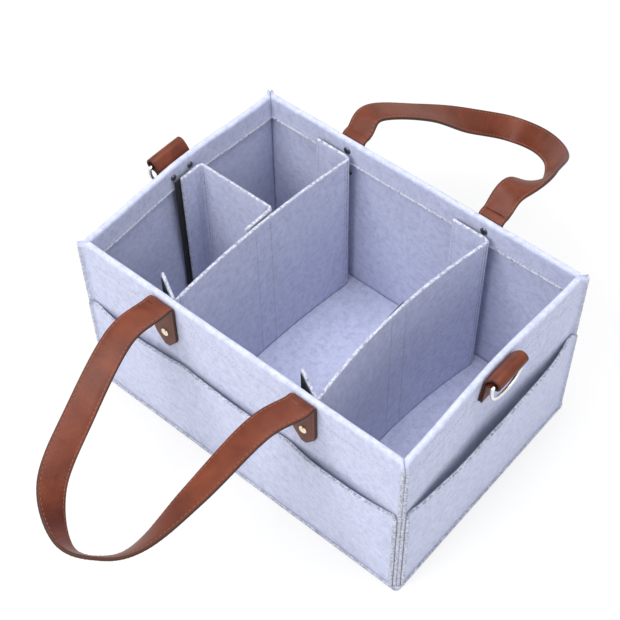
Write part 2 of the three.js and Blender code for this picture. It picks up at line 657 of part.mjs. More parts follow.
[walls.left, walls.right].forEach((wall) => {
  ringTab(wall);
  dRing(wall);
  const lift = ringSeat(wall);
  ringRivets.forEach(({ t, z }) => {
    const end = (t < 0) === (wall.turn === 1) ? 'front' : 'back';
    const name = `${wall.name}_ring_tab_${end}_rivet`;
    const hollow = Math.min(...[-1, 1].map((side) => bowAt(wall, t + side * RING_RIVET_RADIUS, HEIGHT)));
    rivet(wall, name, t, z, RING_RIVET_RADIUS, RING_TAB_FACE, 2 * FELT + lift - hollow, lift);
  });
});

crossDivider('left_divider', -LEFT_DIVIDER_OUT, LEFT_SAG);
crossDivider('right_divider', RIGHT_DIVIDER_OUT, RIGHT_SAG);
shortDivider('short_divider');

export default caddy;
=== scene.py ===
"""Looks of a felt caddy: sewn felt panels, leather straps, hook tape and metal fittings.

Lengths are in metres, +Z is up and -Y is the front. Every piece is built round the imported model's places.
"""
import math

import bmesh
import bpy
import numpy as np
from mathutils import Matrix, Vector


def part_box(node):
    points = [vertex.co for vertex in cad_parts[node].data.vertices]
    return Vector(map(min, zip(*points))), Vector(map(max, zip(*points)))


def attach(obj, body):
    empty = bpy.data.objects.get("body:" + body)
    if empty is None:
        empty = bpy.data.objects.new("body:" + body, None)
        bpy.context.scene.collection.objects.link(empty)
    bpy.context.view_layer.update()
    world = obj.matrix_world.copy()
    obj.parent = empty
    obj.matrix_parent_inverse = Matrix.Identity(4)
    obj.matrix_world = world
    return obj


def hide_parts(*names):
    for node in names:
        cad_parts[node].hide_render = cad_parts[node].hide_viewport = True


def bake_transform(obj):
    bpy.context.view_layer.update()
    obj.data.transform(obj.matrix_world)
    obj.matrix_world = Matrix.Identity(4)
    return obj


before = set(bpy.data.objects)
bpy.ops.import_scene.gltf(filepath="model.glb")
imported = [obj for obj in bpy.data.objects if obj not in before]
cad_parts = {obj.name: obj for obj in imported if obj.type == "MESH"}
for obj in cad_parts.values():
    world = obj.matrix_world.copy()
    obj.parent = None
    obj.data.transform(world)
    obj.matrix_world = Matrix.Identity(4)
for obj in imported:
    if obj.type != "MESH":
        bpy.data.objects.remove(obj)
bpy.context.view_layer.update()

scene = bpy.context.scene

MM = 0.001
ROOT_HALF = math.sqrt(0.5)
UP = np.array([0.0, 0.0, 1.0])

# Felt
FELT = 3.0 * MM
GAP = 0.3 * MM
SEAM_GAP = 0.02 * MM
SEAM_FLANGE = 2.5 * MM
CORNER_FLAT = 12.0 * MM
POCKET_GAP = 0.4 * MM
BASE_MARGIN = 4.9 * MM
BASE_ROUND = 4.0 * MM
HEM_HEIGHT = 25.0 * MM
LEFT_BOW = 5.0 * MM
RIGHT_BOW = -3.0 * MM
BULGE_FULLNESS = 0.6
FRONT_BULGE = 4.0 * MM
MIDDLE_BULGE = 3.0 * MM
SIDE_BULGE = 8.0 * MM
SUB_POCKET_HALF = 56.5 * MM
BEND_REACH = 1.4 * MM
PANEL_STEP = 3.2 * MM
RIPPLE = 0.5 * MM
TIP_ROUND = 0.7 * MM
TIP_DROP = 1.6 * MM
UNEVEN = 0.35 * MM

# Dividers
LEFT_X = -69.5 * MM
RIGHT_X = 77.0 * MM
SKEW = 3.0 * MM
SHIFT = 1.5 * MM
LEFT_SAG = 5.5 * MM
RIGHT_SAG = 10.0 * MM
CORNER_LENGTH = 5.5 * MM
FLAP_WIDTH = 29.0 * MM
PEEL = math.radians(28.5)
STRIP_WIDTH = 20.0 * MM
STRIP_THICKNESS = 1.5 * MM
STRIP_RISE = 1.8 * MM
STRIP_TUCK = 2.3 * MM
STRIP_CLOTH = 0.6 * STRIP_THICKNESS
STRIP_SEAT = 0.43 * STRIP_THICKNESS
STRIP_MARGIN = 2.6 * MM
HOOK_PITCH = 1.55 * MM
HOOK_HALF = 0.42 * MM
HOOK_RISE = 0.42 * STRIP_THICKNESS
FOLD_SEAM = 3.0 * MM
PINCH_SEAM = 5.0 * MM

# Straps
STRAP_WIDTH = 24.0 * MM
STRAP_THICKNESS = 2.8 * MM
STRAP_STEP = 3.5 * MM
HANDLE_HALF = 72.0 * MM
TAB_OUT = 1.65 * MM
TAB_POINT = 12.0 * MM
STITCH_INSET = 2.2 * MM
THREAD_SINK = 0.1 * MM
FOLD_NECK = 2.5 * MM

rim_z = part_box("front_wall")[1].z
floor_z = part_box("front_wall")[0].z
hem_z = rim_z - HEM_HEIGHT
pocket_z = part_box("front_pocket")[1].z
divider_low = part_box("short_divider")[0].z
divider_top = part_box("short_divider")[1].z
half_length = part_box("base_panel")[1].x - BASE_MARGIN
half_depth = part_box("base_panel")[1].y - BASE_MARGIN


def smoothstep(low, high, value):
    share = np.clip((value - low) / (high - low), 0.0, 1.0)
    return share * share * (3 - 2 * share)


def unit(vectors):
    return vectors / np.linalg.norm(vectors, axis=-1, keepdims=True)


def bezier(start, middle, end, count):
    """Points of a quadratic curve, both ends included."""
    u = np.linspace(0, 1, count)[:, None]
    return (1 - u) ** 2 * start + 2 * u * (1 - u) * middle + u * u * end


def cubic(a, b, c, d, count):
    """Points of a cubic curve from its four control points, the end left out."""
    u = np.linspace(0, 1, count, endpoint=False)[:, None]
    return (1 - u) ** 3 * a + 3 * u * (1 - u) ** 2 * b + 3 * u * u * (1 - u) * c + u**3 * d


def stops_along(points):
    """Length along a line up to each of its points."""
    steps = np.linalg.norm(np.diff(points, axis=0), axis=1)
    return np.concatenate([[0], np.cumsum(steps)])


def sample(wanted, stops, points):
    """Points of a line at the wanted lengths; stops are the lengths up to its own points."""
    return np.stack([np.interp(wanted, stops, points[:, k]) for k in range(points.shape[1])], axis=1)


def resample(points, step):
    """Points at an even spacing of about step along a line."""
    stops = stops_along(points)
    count = max(2, int(round(stops[-1] / step)) + 1)
    return sample(np.linspace(0, stops[-1], count), stops, points)


def smooth_line(knots, count):
    """A Catmull-Rom line through the knots, with count points for each span."""
    knots = np.asarray(knots, float)
    padded = np.concatenate([[2 * knots[0] - knots[1]], knots, [2 * knots[-1] - knots[-2]]])
    u = np.linspace(0, 1, count, endpoint=False)[:, None]
    spans = []
    for a, b, c, d in zip(padded, padded[1:], padded[2:], padded[3:]):
        bend = (2 * a - 5 * b + 4 * c - d) * u**2 + (3 * b - a - 3 * c + d) * u**3
        spans.append(0.5 * (2 * b + (c - a) * u + bend))
    return np.concatenate(spans + [knots[-1:]])


def make(name, verts, faces, materials, marks=None, pick=None):
    """A smooth mesh object; marks are named values at its points, pick a material number for each face."""
    mesh = bpy.data.meshes.new(name)
    mesh.from_pydata(np.asarray(verts, float).tolist(), [], [tuple(int(i) for i in f) for f in faces])
    for material in materials:
        mesh.materials.append(material)
    if pick is not None:
        mesh.polygons.foreach_set("material_index", np.asarray(pick, dtype=np.int32))
    for key, values in (marks or {}).items():
        layer = mesh.attributes.new(key, "FLOAT", "POINT")
        layer.data.foreach_set("value", np.asarray(values, dtype=np.float32))
    work = bmesh.new()
    work.from_mesh(mesh)
    bmesh.ops.recalc_face_normals(work, faces=work.faces)
    work.to_mesh(mesh)
    work.free()
    mesh.shade_smooth()
    piece = bpy.data.objects.new(name, mesh)
    scene.collection.objects.link(piece)
    return piece


def grid_faces(index):
    """Quads between neighbouring rows and columns of point numbers."""
    corners = [index[:-1, :-1], index[:-1, 1:], index[1:, 1:], index[1:, :-1]]
    return np.stack([c.ravel() for c in corners], axis=1).tolist()


def sheet_mesh(outer, inner):
    """Points and faces of a sheet between two grids of points, closed along its four borders."""
    rows, columns = outer.shape[:2]
    front = np.arange(rows * columns).reshape(rows, columns)
    back = front + rows * columns
    border = np.concatenate([front[0], front[1:, -1], front[-1, -2::-1], front[-2:0:-1, 0]])
    rim = [(a, b, b + rows * columns, a + rows * columns) for a, b in zip(border, np.roll(border, -1))]
    verts = np.concatenate([outer.reshape(-1, 3), inner.reshape(-1, 3)])
    return verts, grid_faces(front) + grid_faces(back[:, ::-1]) + rim


def tube_mesh(rings, loop=False):
    """Points and faces of a tube through rings of points, capped unless it closes on itself."""
    count, sides = rings.shape[:2]
    index = np.arange(count * sides).reshape(count, sides)
    wrapped = np.concatenate([index, index[:, :1]], axis=1)
    if loop:
        return rings.reshape(-1, 3), grid_faces(np.concatenate([wrapped, wrapped[:1]]))
    caps = [index[0, ::-1].tolist(), index[-1].tolist()]
    return rings.reshape(-1, 3), grid_faces(wrapped) + caps


def join(parts):
    """One set of points and faces from several."""
    verts, faces, start = [], [], 0
    for points, quads in parts:
        verts.append(points)
        faces += [tuple(i + start for i in quad) for quad in quads]
        start += len(points)
    return np.concatenate(verts), faces


STITCH_RINGS = ((-0.5, 0.3, -0.9), (-0.28, 0.95, 0.1), (0.28, 0.95, 0.1), (0.5, 0.3, -0.9))
STITCH_SIDES = 6


def stitches(points, normals, pitch, length, radius):
    """Thread stitches along a line on a surface, each dipping into it at both ends."""
    stops = stops_along(points)
    count = max(1, int(stops[-1] / pitch))
    middles = (np.arange(count) + 0.5) * stops[-1] / count
    centre = sample(middles, stops, points)
    facing = unit(sample(middles, stops, normals))
    along = unit(sample(middles + length / 2, stops, points) - sample(middles - length / 2, stops, points))
    side = unit(np.cross(facing, along))
    turn = np.linspace(0, 2 * math.pi, STITCH_SIDES, endpoint=False)
    parts = []
    for c, f, a, s in zip(centre, facing, along, side):
        rings = []
        for share, size, lift in STITCH_RINGS:
            middle = c + a * share * length + f * lift * radius
            rings.append(middle + radius * size * (np.outer(np.cos(turn), s) + np.outer(np.sin(turn), f)))
        parts.append(tube_mesh(np.array(rings)))
    return join(parts)


# Node groups and materials


def node(tree, kind, inputs=None, **settings):
    """A shader node; an input is a value or another node's output socket."""
    made = tree.nodes.new(kind)
    for key, value in settings.items():
        setattr(made, key, value)
    for key, value in (inputs or {}).items():
        if isinstance(value, bpy.types.NodeSocket):
            tree.links.new(value, made.inputs[key])
        else:
            made.inputs[key].default_value = value
    return made


def node_group(name, inputs, outputs):
    """An empty shader node group with float inputs and outputs, and its two end nodes."""
    group = bpy.data.node_groups.new(name, "ShaderNodeTree")
    for key, value in inputs.items():
        socket = group.interface.new_socket(key, in_out="INPUT", socket_type="NodeSocketFloat")
        socket.default_value = value
    for key in outputs:
        group.interface.new_socket(key, in_out="OUTPUT", socket_type="NodeSocketFloat")
    return group, node(group, "NodeGroupInput"), node(group, "NodeGroupOutput")


def noise(tree, scale, detail, distortion=0.0, roughness=0.55):
    """The value of a noise texture laid in the object's own coordinates."""
    where = node(tree, "ShaderNodeTexCoord").outputs["Object"]
    settings = {"Vector": where, "Scale": scale, "Detail": detail, "Roughness": roughness}
    return node(tree, "ShaderNodeTexNoise", {**settings, "Distortion": distortion}).outputs["Fac"]


def math_node(tree, operation, first, second):
    return node(tree, "ShaderNodeMath", {0: first, 1: second}, operation=operation).outputs[0]


def share_between(tree, value, start, end):
    """0 to 1 as a value goes from start to end."""
    limits = {"Value": value, "From Min": start, "From Max": end}
    return node(tree, "ShaderNodeMapRange", limits).outputs[0]


def polish(tree, shader, wear, smooth, rough):
    """Lets finger wear set how rough a surface is, between two values."""
    limits = {"Value": wear["Smear"], "To Min": smooth, "To Max": rough}
    made = node(tree, "ShaderNodeMapRange", limits)
    tree.links.new(made.outputs[0], shader.inputs["Roughness"])


def weigh(tree, first, second, share):
    """One value with a share of another in it."""
    rest = math_node(tree, "MULTIPLY", first, 1 - share)
    return math_node(tree, "ADD", rest, math_node(tree, "MULTIPLY", second, share))


def fibre_group():
    """Matted fibres: Mottle is their cloudy shade, Strand light hairs, Fleck tufts, Height the raised hairs.
    """
    group, given, result = node_group(
        "matted_fibres", {"Cloud": 150.0, "Hair": 620.0}, ("Mottle", "Strand", "Fleck", "Height"))
    cloud = noise(group, given.outputs["Cloud"], 4.0, 0.4)
    hair = noise(group, given.outputs["Hair"], 4.0, 1.6, 0.65)
    fine = noise(group, math_node(group, "MULTIPLY", given.outputs["Hair"], 2.2), 2.0, 0.6)
    strand = share_between(group, fine, 0.58, 0.72)
    tufts = noise(group, math_node(group, "MULTIPLY", given.outputs["Hair"], 0.55), 2.0, 0.8, 0.6)
    made = {"Mottle": weigh(group, cloud, hair, 0.55), "Strand": strand, "Fleck": tufts,
            "Height": weigh(group, hair, fine, 0.3)}
    for key, value in made.items():
        group.links.new(value, result.inputs[key])
    return group


def wear_group():
    """Handling marks: Smear is broad finger wear, Scratch fine hairlines."""
    group, given, result = node_group("handling_wear", {"Size": 60.0}, ("Smear", "Scratch"))
    smear = noise(group, given.outputs["Size"], 4.0, 0.6)
    lines = noise(group, math_node(group, "MULTIPLY", given.outputs["Size"], 9.0), 2.0, 6.0)
    band = math_node(group, "ABSOLUTE", math_node(group, "SUBTRACT", lines, 0.5), 0.0)
    scratch = share_between(group, band, 0.012, 0.0)
    group.links.new(smear, result.inputs["Smear"])
    group.links.new(scratch, result.inputs["Scratch"])
    return group


FIBRES = fibre_group()
WEAR = wear_group()


def new_material(name, **values):
    """A material with its Principled shader; values are set on that shader's sockets."""
    material = bpy.data.materials.new(name)
    material.use_nodes = True
    tree = material.node_tree
    tree.nodes.clear()
    shader = node(tree, "ShaderNodeBsdfPrincipled")
    for key, value in values.items():
        shader.inputs[key.replace("_", " ").title().replace("Ior", "IOR")].default_value = value
    node(tree, "ShaderNodeOutputMaterial", {"Surface": shader.outputs[0]})
    return material, tree, shader


def use_group(tree, group, **inputs):
    made = node(tree, "ShaderNodeGroup", node_tree=group)
    for key, value in inputs.items():
        made.inputs[key].default_value = value
    return made.outputs


def ramp(tree, value, *stops):
    """A colour ramp through (place, colour) stops."""
    made = node(tree, "ShaderNodeValToRGB", {"Fac": value})
    elements = made.color_ramp.elements
    while len(elements) < len(stops):
        elements.new(0.5)
    for element, (place, colour) in zip(elements, stops):
        element.position = place
        element.color = (*colour, 1.0)
    return made.outputs["Color"]


def mix_colour(tree, share, first, second, blend="MIX"):
    made = node(tree, "ShaderNodeMix", data_type="RGBA", blend_type=blend)
    for socket, value in zip((made.inputs[0], made.inputs[6], made.inputs[7]), (share, first, second)):
        if isinstance(value, bpy.types.NodeSocket):
            tree.links.new(value, socket)
        else:
            socket.default_value = value if isinstance(value, float) else (*value, 1.0)
    return made.outputs[2]


def mark(tree, name):
    """A named value carried by the mesh's points."""
    return node(tree, "ShaderNodeAttribute", attribute_name=name).outputs["Fac"]


def bump(tree, shader, height, strength, distance):
    made = node(tree, "ShaderNodeBump", {"Height": height, "Strength": strength, "Distance": distance})
    tree.links.new(made.outputs[0], shader.inputs["Normal"])


FELT_SHADES = ((0.34, (0.375, 0.4, 0.55)), (0.5, (0.525, 0.557, 0.742)), (0.66, (0.635, 0.667, 0.85)))
FIBRE_SHADE = (0.74, 0.755, 0.9)
CUT_SHADES = ((0.36, (0.25, 0.262, 0.335)), (0.5, (0.46, 0.478, 0.58)), (0.64, (0.63, 0.65, 0.755)))
# Near-white for the hem's cut edge: partly its paler cut fibres, partly a painted highlight where the edge
# catches light
HEM_FIBRES_AND_HIGHLIGHT = (0.88, 0.89, 0.95)
LEATHER_SHADES = ((0.3, (0.088, 0.018, 0.0078)), (0.7, (0.156, 0.0365, 0.016)))
LEATHER_EDGE = (0.05, 0.016, 0.009)
TAPE_SHADES = ((0.35, (0.006, 0.006, 0.007)), (0.65, (0.022, 0.022, 0.025)))


def felt_material():
    material, tree, shader = new_material(
        "felt", roughness=0.95, sheen_weight=0.25, sheen_roughness=0.6, specular_ior_level=0.1)
    fibres = use_group(tree, FIBRES, Cloud=190.0, Hair=800.0)
    cloth = ramp(tree, fibres["Mottle"], *FELT_SHADES)
    cloth = mix_colour(tree, math_node(tree, "MULTIPLY", fibres["Strand"], 0.4), cloth, FIBRE_SHADE)
    cut = ramp(tree, fibres["Fleck"], *CUT_SHADES)
    cloth = mix_colour(tree, mark(tree, "raw"), cloth, cut)
    # Speckled pale band on the hem's cut edge: partly paler cut fibres, partly a painted highlight where the
    # edge catches light
    hem_fibres_and_highlight = math_node(tree, "MULTIPLY", mark(tree, "hem_fibres_and_highlight"), share_between(tree, fibres["Fleck"], 0.36, 0.52))
    tree.links.new(mix_colour(tree, hem_fibres_and_highlight, cloth, HEM_FIBRES_AND_HIGHLIGHT), shader.inputs["Base Color"])
    bump(tree, shader, fibres["Height"], 0.7, 0.0011)
    return material


def leather_material():
    material, tree, shader = new_material(
        "strap_leather", coat_weight=0.05, coat_roughness=0.3, specular_ior_level=0.2)
    wear = use_group(tree, WEAR, Size=45.0)
    hide = ramp(tree, wear["Smear"], *LEATHER_SHADES)
    tree.links.new(mix_colour(tree, mark(tree, "edge"), hide, LEATHER_EDGE), shader.inputs["Base Color"])
    polish(tree, shader, wear, 0.36, 0.48)
    where = node(tree, "ShaderNodeTexCoord").outputs["Object"]
    grain = node(tree, "ShaderNodeTexVoronoi", {"Vector": where, "Scale": 900.0}).outputs["Distance"]
    bump(tree, shader, math_node(tree, "ADD", grain, noise(tree, 420.0, 3.0)), 0.22, 0.0005)
    return material


def tape_material():
    material, tree, shader = new_material("hook_tape", roughness=0.62, specular_ior_level=0.35)
    fibres = use_group(tree, FIBRES, Cloud=400.0, Hair=1500.0)
    tree.links.new(ramp(tree, fibres["Mottle"], *TAPE_SHADES), shader.inputs["Base Color"])
    bump(tree, shader, fibres["Height"], 0.4, 0.0005)
    return material


def thread_material(name, colour):
    material, tree, shader = new_material(name, base_color=(*colour, 1.0), roughness=0.7, sheen_weight=0.2)
    bump(tree, shader, use_group(tree, FIBRES, Cloud=900.0, Hair=3200.0)["Height"], 0.3, 0.0003)
    return material


def metal_material(name, colour, smooth, rough):
    material, tree, shader = new_material(name, base_color=(*colour, 1.0), metallic=1.0)
    wear = use_group(tree, WEAR, Size=150.0)
    polish(tree, shader, wear, smooth, rough)
    bump(tree, shader, wear["Scratch"], 0.05, 0.0001)
    return material


FELT_LOOK = felt_material()
LEATHER = leather_material()
TAPE = tape_material()
FELT_THREAD = thread_material("felt_thread", (0.36, 0.37, 0.46))
PALE_THREAD = thread_material("pale_thread", (0.3, 0.31, 0.39))
LEATHER_THREAD = thread_material("leather_thread", (0.2, 0.07, 0.038))
STEEL = metal_material("ring", (0.77, 0.77, 0.78), 0.1, 0.22)
BRASS = metal_material("rivet", (0.86, 0.74, 0.54), 0.14, 0.28)
GUNMETAL = metal_material("rivet_cap", (0.13, 0.13, 0.145), 0.2, 0.36)


# Felt


class Wall:
    """One side of the box: t runs along it, n outward from its outer face."""

    def __init__(self, name, turn, half, out, bow, bays):
        self.name, self.turn, self.half, self.out, self.bow, self.bays = name, turn, half, out, bow, bays

    def spin(self, x, y):
        cos, sin = ((1, 0), (0, 1), (-1, 0), (0, -1))[self.turn]
        return x * cos - y * sin, x * sin + y * cos

    def place(self, t, n, z):
        x, y = self.spin(t, -self.out - n)
        return np.stack(np.broadcast_arrays(x, y, z), axis=-1).astype(float)

    def heading(self, t, n, z=0.0):
        """A direction given along the wall, outward and up."""
        x, y = self.spin(t, -n)
        return np.stack(np.broadcast_arrays(x, y, z), axis=-1).astype(float)

    def lean(self, t, z):
        """How far the felt stands out of line: its bow, and soft ripples below the stiff hem."""
        share = np.clip(np.abs(t) / (self.half - CORNER_FLAT), 0, 1)
        climb = np.clip((z - floor_z) / (hem_z - floor_z), 0, 1)
        soft = smoothstep(0, 0.3, climb) * smoothstep(0.95, 0.6, climb)
        wave = np.sin(41 * t + 1.7 * self.turn) * np.sin(33 * z + 19 * t) + 0.6 * np.sin(97 * t + 61 * z)
        return self.bow * (1 - share**2) ** 2 * climb + RIPPLE * wave * soft * (1 - share**4)

    def bulge(self, t, z):
        """How far the pocket panel stands off its wall."""
        rise = np.clip((z - floor_z) / (pocket_z - floor_z), 0, 1)
        total = np.zeros(np.broadcast_shapes(np.shape(t), np.shape(z)))
        for start, end, size in self.bays:
            share = np.clip((t - start) / (end - start), 0, 1)
            total = total + size * np.sin(math.pi * share) ** BULGE_FULLNESS * np.sin(rise * math.pi / 2)
        return total


def long_bays(half):
    stops = (CORNER_FLAT - half, -SUB_POCKET_HALF, SUB_POCKET_HALF, half - CORNER_FLAT)
    return list(zip(stops, stops[1:], (FRONT_BULGE, MIDDLE_BULGE, FRONT_BULGE)))


def end_bays(half):
    return [(CORNER_FLAT - half, half - CORNER_FLAT, SIDE_BULGE)]


WALLS = {
    "front": Wall("front", 0, half_length, half_depth, 0.0, long_bays(half_length)),
    "right": Wall("right", 1, half_depth, half_length, RIGHT_BOW, end_bays(half_depth)),
    "back": Wall("back", 2, half_length, half_depth, 0.0, long_bays(half_length)),
    "left": Wall("left", 3, half_depth, half_length, LEFT_BOW, end_bays(half_depth)),
}


def layer_line(wall, inner):
    """(t, n) along the middle of a flat felt layer, its ends turned out along the corner seams."""
    middle = inner + FELT / 2
    from_seam = SEAM_GAP / 2 + FELT + middle
    tip = np.array([SEAM_FLANGE - from_seam, SEAM_FLANGE + from_seam]) * ROOT_HALF + (wall.half, 0)
    bend = np.array([wall.half + middle - from_seam / ROOT_HALF, middle])
    before = bend - (BEND_REACH, 0)
    after = bend + unit(tip - bend) * BEND_REACH
    rounding = tip - unit(tip - bend) * TIP_ROUND
    end = np.concatenate([bezier(before, bend, after, 5), np.linspace(after, rounding, 3)[1:], [tip]])
    last = min(before[0] - 0.5 * MM, wall.half - 2 * FELT)
    count = int(round(2 * last / PANEL_STEP))
    straight = np.stack([np.linspace(-last, last, count), np.full(count, middle)], axis=1)
    return np.concatenate([end[::-1] * (-1, 1), straight, end])


def uneven(wall, t):
    """Small hand-cut unevenness along an edge, from -1 to 1."""
    return 0.6 * np.sin(57 * t + wall.turn) + 0.4 * np.sin(149 * t + 2.3 * wall.turn)


def flange_taper(line):
    """Share of the felt's thickness along a layer, less at its two rounded tips."""
    share = np.ones(len(line))
    share[[0, -1]] = 0.72
    return share


def flange_marks(line):
    """1 at the cut tips of a layer."""
    marks = np.zeros(len(line))
    marks[[0, 1, -2, -1]] = 1.0
    marks[[2, -3]] = 0.4
    return marks


def layer_face(wall, line, z, lean, offset):
    """Points of one face of a layer: rows at the heights z, offset from the layer's middle."""
    rows = z if np.ndim(z) == 2 else z[:, None]
    t = np.broadcast_to(line[:, 0], (len(z), len(line)))
    n = line[:, 1] + lean
    along, rise = np.gradient(t, axis=1), np.gradient(n, axis=1)
    length = np.hypot(along, rise)
    return wall.place(t - offset * rise / length, n + offset * along / length, rows)


# Distance from a cut edge, and the share of the felt's thickness there
EDGE_ROUND = np.array(((0.0, 0.5), (0.3, 0.8), (0.9, 0.96), (1.8, 1.0))) * (MM, 1)


def edged_rows(low, high, step):
    """Heights from low to high, close at a rounded cut edge on top, and the share of the felt at each."""
    rows = np.linspace(low, high - EDGE_ROUND[-1, 0], max(2, int(round((high - low) / step))))
    heights = np.concatenate([rows, high - EDGE_ROUND[-2::-1, 0]])
    shares = np.concatenate([np.ones(len(rows)), EDGE_ROUND[-2::-1, 1]])
    return heights, shares


def felt_piece(name, outer, inner, marks, body, *nodes):
    """A felt sheet between two grids, with marks on both: raw on cut felt, and a pale band on the hem's cut
    edge, partly its paler cut fibres and partly a painted highlight where the edge catches light.
    """
    verts, faces = sheet_mesh(outer, inner)
    values = {key: np.concatenate([face.ravel() for face in faces_of]) for key, faces_of in marks.items()}
    piece = make(name, verts, faces, [FELT_LOOK], values)
    if body:
        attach(piece, body)
    if nodes:
        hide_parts(*nodes)
    return piece


# Height over the hem's lower edge, depth from the outer face in felts, raw marks, and the pale-band mark:
# partly paler cut fibres, partly a painted highlight where the edge catches light
HEM_EDGE = np.array((
    (0.7, 1.0, 0.0, 0.0), (0.5, 1.12, 0.3, 0.0), (-0.5, 1.2, 1.0, 0.0), (-0.6, 1.7, 1.0, 0.5),
    (-0.2, 2.12, 1.0, 1.0), (0.8, 2.2, 1.0, 1.0), (1.9, 2.16, 0.7, 0.85), (3.0, 2.08, 0.2, 0.0),
)) * (MM, FELT, 1, 1)
RIM_ANGLES = np.radians((0, 20, 40, 58, 75, 90))


def wall_panel(wall):
    """Felt with its top folded in as a hem, whose cut lower edge stands off the wall."""
    line = layer_line(wall, -FELT)
    # The hem is as deep as the mitre at the corner leaves room for.
    along = unit(np.gradient(line, axis=0))
    seam = np.abs(line[:, 0]) - line[:, 1] - wall.half
    slope = np.abs(along[:, 1]) + along[:, 0]
    room = (-seam - SEAM_GAP * ROOT_HALF) / slope - FELT / 2
    inside = np.clip(room / FELT, 0, 1)
    rim_rows = rim_z - FELT + FELT * np.sin(RIM_ANGLES)
    drawn = 0.9 * FELT * (1 - np.cos(RIM_ANGLES))
    low = np.linspace(floor_z, hem_z - 1.5 * MM, 36)
    hem = np.concatenate([np.linspace(hem_z + 7 * MM, rim_z - FELT - 3 * MM, 5), rim_rows])
    in_z = np.concatenate([low, hem_z + HEM_EDGE[:, 0], hem])
    full = np.concatenate([np.full(len(low), FELT), HEM_EDGE[:, 1], np.full(len(hem), 2 * FELT)])
    cut = np.concatenate([np.zeros((len(low), 2)), HEM_EDGE[:, 2:], np.zeros((len(hem), 2))])
    below = len(in_z) - len(rim_rows)
    out_z = np.concatenate([np.linspace(floor_z, rim_z - FELT - 3 * MM, below), rim_rows])
    pull = np.concatenate([np.zeros(below), drawn])[:, None]
    thin = np.minimum(pull, 0.4 * FELT)
    pull = inside * pull + (1 - inside) * thin
    tip = flange_taper(line)
    out_face = (FELT / 2 - pull) * tip
    in_face = (inside * (FELT - full[:, None]) - FELT / 2 + pull) * tip
    droop = TIP_DROP * (1 - inside) - UNEVEN * uneven(wall, line[:, 0])
    out_z = out_z[:, None] - droop * smoothstep(hem_z, rim_z, out_z)[:, None]
    in_z = in_z[:, None] - droop * smoothstep(hem_z, rim_z, in_z)[:, None]
    outer = layer_face(wall, line, out_z, wall.lean(line[:, 0], out_z), out_face)
    inner = layer_face(wall, line, in_z, wall.lean(line[:, 0], in_z), in_face)
    tips = flange_marks(line)
    plain = np.zeros((len(in_z), len(line)))
    raw = [plain + tips, np.maximum(cut[:, :1] * inside, tips)]
    # The second cut column marks the hem's cut edge for its pale band, which is partly a painted highlight
    marks = {"raw": raw, "hem_fibres_and_highlight": [plain, cut[:, 1:] * inside]}
    piece = felt_piece(f"{wall.name}_wall_felt", outer, inner, marks, "shell", f"{wall.name}_wall")


def pocket_panel(wall):
    """Felt sewn to the wall along its stitch lines, slack between them, with a cut top edge."""
    line = layer_line(wall, POCKET_GAP)
    z, share = edged_rows(floor_z, pocket_z, PANEL_STEP)
    cut = np.clip((z - pocket_z + 1.6 * MM) / (1.2 * MM), 0, 1)
    lean = wall.lean(line[:, 0], z[:, None]) + wall.bulge(line[:, 0], z[:, None])
    z = z[:, None] + UNEVEN * uneven(wall, 1.3 * line[:, 0]) * smoothstep(floor_z, pocket_z, z)[:, None]
    half = share[:, None] * flange_taper(line) * FELT / 2
    outer = layer_face(wall, line, z, lean, half)
    inner = layer_face(wall, line, z, lean, -half)
    raw = np.maximum(cut[:, None], flange_marks(line))
    name = f"{wall.name}_pocket"
    piece = felt_piece(f"{name}_felt", outer, inner, {"raw": [raw, raw]}, "shell", name)


def base_panel():
    """The floor of the box, with rounded corners and a cut edge that shows outside."""
    half = np.array([half_length, half_depth]) + BASE_MARGIN
    spread = []
    for size in half:
        flat = np.linspace(BASE_ROUND - size, size - BASE_ROUND, int(round(2 * size / (2 * PANEL_STEP))))
        corner = np.linspace(size - BASE_ROUND, size, 6)[1:]
        spread.append(np.concatenate([-corner[::-1], flat, corner]))
    x, y = np.meshgrid(*spread)
    u = np.clip((np.abs(x) - half[0] + BASE_ROUND) / BASE_ROUND, 0, 1)
    v = np.clip((np.abs(y) - half[1] + BASE_ROUND) / BASE_ROUND, 0, 1)
    x = x + np.sign(x) * BASE_ROUND * u * (np.sqrt(1 - v * v / 2) - 1)
    y = y + np.sign(y) * BASE_ROUND * v * (np.sqrt(1 - u * u / 2) - 1)
    rim = np.maximum(u, v)
    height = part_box("base_panel")[1].z
    top = np.stack([x, y, height * (1 - 0.22 * smoothstep(0.8, 1.0, rim))], axis=-1)
    under = np.stack([x, y, height * 0.22 * smoothstep(0.8, 1.0, rim)], axis=-1)
    raw = smoothstep(0.5, 0.9, rim)
    piece = felt_piece("base_felt", top, under, {"raw": [raw, raw]}, "shell", "base_panel")


def standing_sheet(line, low, high, thickness):
    """Both faces of an upright sheet along a plan line, with its top and its ends rounded."""
    z, share = edged_rows(low, high, PANEL_STEP)
    stops = stops_along(line)
    taper = np.ones(len(line))
    for distance in (stops, stops[-1] - stops):
        taper = taper * np.interp(distance, EDGE_ROUND[:, 0], EDGE_ROUND[:, 1])
    side = np.gradient(line, axis=0)
    normal = unit(np.stack([-side[:, 1], side[:, 0]], axis=1))
    half = thickness / 2 * share[:, None] * taper
    faces = []
    for sign in (1, -1):
        plan = line + sign * half[..., None] * normal
        heights = np.broadcast_to(z[:, None], half.shape)
        faces.append(np.dstack([plan, heights]))
    cut_top = np.clip((z - high + 1.5 * MM) / (1.1 * MM), 0, 1)[:, None]
    cut_end = np.where(taper < 0.9, 1.0, 0.0)
    return faces[0], faces[1], np.maximum(cut_top, cut_end)


